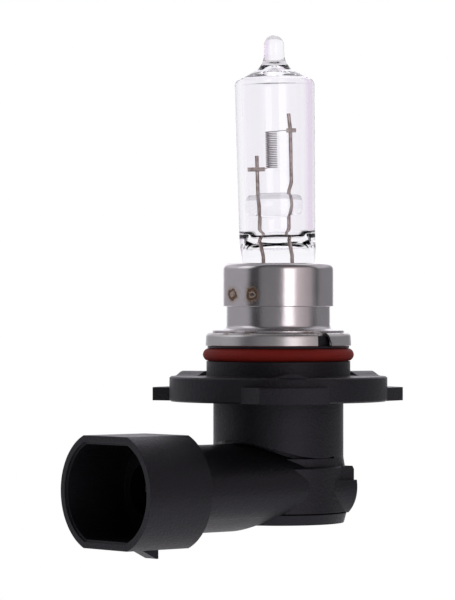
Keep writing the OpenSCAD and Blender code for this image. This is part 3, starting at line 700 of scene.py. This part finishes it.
# %% [markdown]
# ## Floor and light
# The lamp hangs over a round pale floor in a bright room. The room is white behind the lamp and
# darker round the sides, with a bright window at the front right and a grey wall at the left,
# so that black plastic and bright steel both show their roundness. A picture of a studio could
# light the lamp too, but here each part of the room is a range of bearings and heights, which
# is easy to adjust. Soft lamps add highlights.

# %% Pale floor
FLOOR_Z, FLOOR_RADIUS = -0.075, 0.3
ground = bmesh.new()
bmesh.ops.create_circle(ground, cap_ends=True, segments=96, radius=FLOOR_RADIUS)
bmesh.ops.translate(ground, vec=(0, 0, FLOOR_Z), verts=ground.verts)
ground_mesh = bpy.data.meshes.new("floor")
ground.to_mesh(ground_mesh)
ground.free()
floor_paint = Recipe("floor_paint", Roughness=0.9, Base_Color=(0.9, 0.9, 0.9, 1),
                     Emission_Color=(1, 1, 1, 1), Emission_Strength=0.3)
ground_mesh.materials.append(floor_paint.material)
floor = bpy.data.objects.new("floor", ground_mesh)
bpy.context.scene.collection.objects.link(floor)
print("floor", round(1000 * FLOOR_RADIUS), "mm in radius, at", round(1000 * FLOOR_Z), "mm")

# %% Room light
world = bpy.data.worlds.new("room")
bpy.context.scene.world = world
world.use_nodes = True
sky = Wiring(world.node_tree)
sky.tree.nodes.clear()
direction = sky.node("ShaderNodeTexCoord", {}, {}, output="Generated")
turned = sky.node("ShaderNodeMapping", {"vector_type": "POINT"},
                  {"Vector": direction, "Rotation": (0, 0, -VIEW_TURN)})
parts = sky.node("ShaderNodeSeparateXYZ", {}, {0: turned}, output=None)
side, depth, up = (Signal(sky, parts.outputs[i]) for i in range(3))
# bearing is 0 towards the camera and grows to its right, in half turns; up is the height
bearing = side.math("ARCTAN2", side, -depth) / math.pi
behind = bearing.abs().step(0.85, 0.94)
middle = bearing.step(-0.25, -0.20) * bearing.step(0.50, 0.44)
left = bearing.step(-0.33, -0.40) * bearing.step(-0.97, -0.88)
window = bearing.step(0.05, 0.08) * bearing.step(0.43, 0.39) * up.step(-0.25, -0.12)
fade = bearing.step(0.10, 0.40)
right = bearing.step(0.48, 0.53)
level = (0.05 + middle * 0.15 + left * (0.34 + 0.25 * up.step(0.10, 0.40))
         + window * (0.60 - 0.38 * fade) * up.step(0.60, 0.45)
         + right * (0.20 + 0.35 * up.step(0.15, 0.45)) + behind)
level = level * (0.6 + 0.4 * up.step(0.85, 0.45))
tint = sky.mixed(window, (0.98, 0.95, 1.02), (1.0, 0.88, 0.91))
lit = sky.node("ShaderNodeBackground", {}, {"Color": tint, "Strength": level})

# %% [markdown]
# Light that has come through the quartz meets a whiter room, so that the glass stays bright and
# only its edges draw dark lines. One side of that surround is a pale lilac, which shows as a
# soft band down the tube's wall.

# %% Room as seen through glass
lilac = bearing.step(0.62, 0.70) * bearing.step(0.93, 0.84)
surround = sky.mixed(lilac, (0.985, 0.98, 1.0), (0.83, 0.74, 0.86))
turned_away = bearing.abs()
shade = turned_away.step(0.20, 0.30) * turned_away.step(0.66, 0.56) * up.abs().step(0.40, 0.25)
white = turned_away.step(0.56, 0.66).most(up.abs().step(0.30, 0.60))
around = sky.node("ShaderNodeBackground", {},
                  {"Color": surround, "Strength": 0.75 + 0.25 * white - 0.45 * shade})
plain = sky.node("ShaderNodeBackground", {}, {"Color": (1, 1, 1, 1), "Strength": 1.0})
path = sky.node("ShaderNodeLightPath", {}, {}, output=None)
through, seen = (Signal(sky, path.outputs[f"Is {kind} Ray"]) for kind in ("Transmission", "Camera"))
indoors = sky.node("ShaderNodeMixShader", {}, {0: through, 1: lit, 2: around})
blend = sky.node("ShaderNodeMixShader", {}, {0: seen, 1: indoors, 2: plain})
sky.node("ShaderNodeOutputWorld", {}, {"Surface": blend}, output=None)
print("room light nodes:", len(sky.tree.nodes))

# %% [markdown]
# Three lamps add highlights that the room alone can't give: one in front, one high on the left,
# and one above and behind. Point lamps would leave hard dots on the steel. A square lamp leaves
# a soft patch, as a studio's light box does.

# %% Soft lamps
AIM = Vector((0, 0, 0.005))


def soft_lamp(name, turn, height, distance, size, power, colour=(1, 1, 1)):
    """A square soft lamp that shines on the flange; turn in degrees to the camera's right."""
    a = math.radians(turn)
    way = TOWARDS_CAMERA * math.cos(a) + RIGHT * math.sin(a)
    at = way * distance + Vector((0, 0, height))
    data = bpy.data.lights.new(name, "AREA")
    data.shape, data.size, data.energy, data.color = "SQUARE", size, power, colour
    lamp = bpy.data.objects.new(name, data)
    lamp.location = at
    lamp.rotation_euler = (AIM - at).to_track_quat("-Z", "Y").to_euler()
    bpy.context.scene.collection.objects.link(lamp)
    print(name, "at", [round(c, 3) for c in at], "watts", power)


soft_lamp("key_lamp", 22, 0.05, 0.8, 0.32, 0.38, (1, 0.95, 0.98))
soft_lamp("left_lamp", -80, 0.55, 0.8, 0.5, 0.4)
soft_lamp("top_lamp", 150, 0.7, 0.4, 0.5, 0.3)
bpy.context.scene.view_settings.view_transform = "Standard"
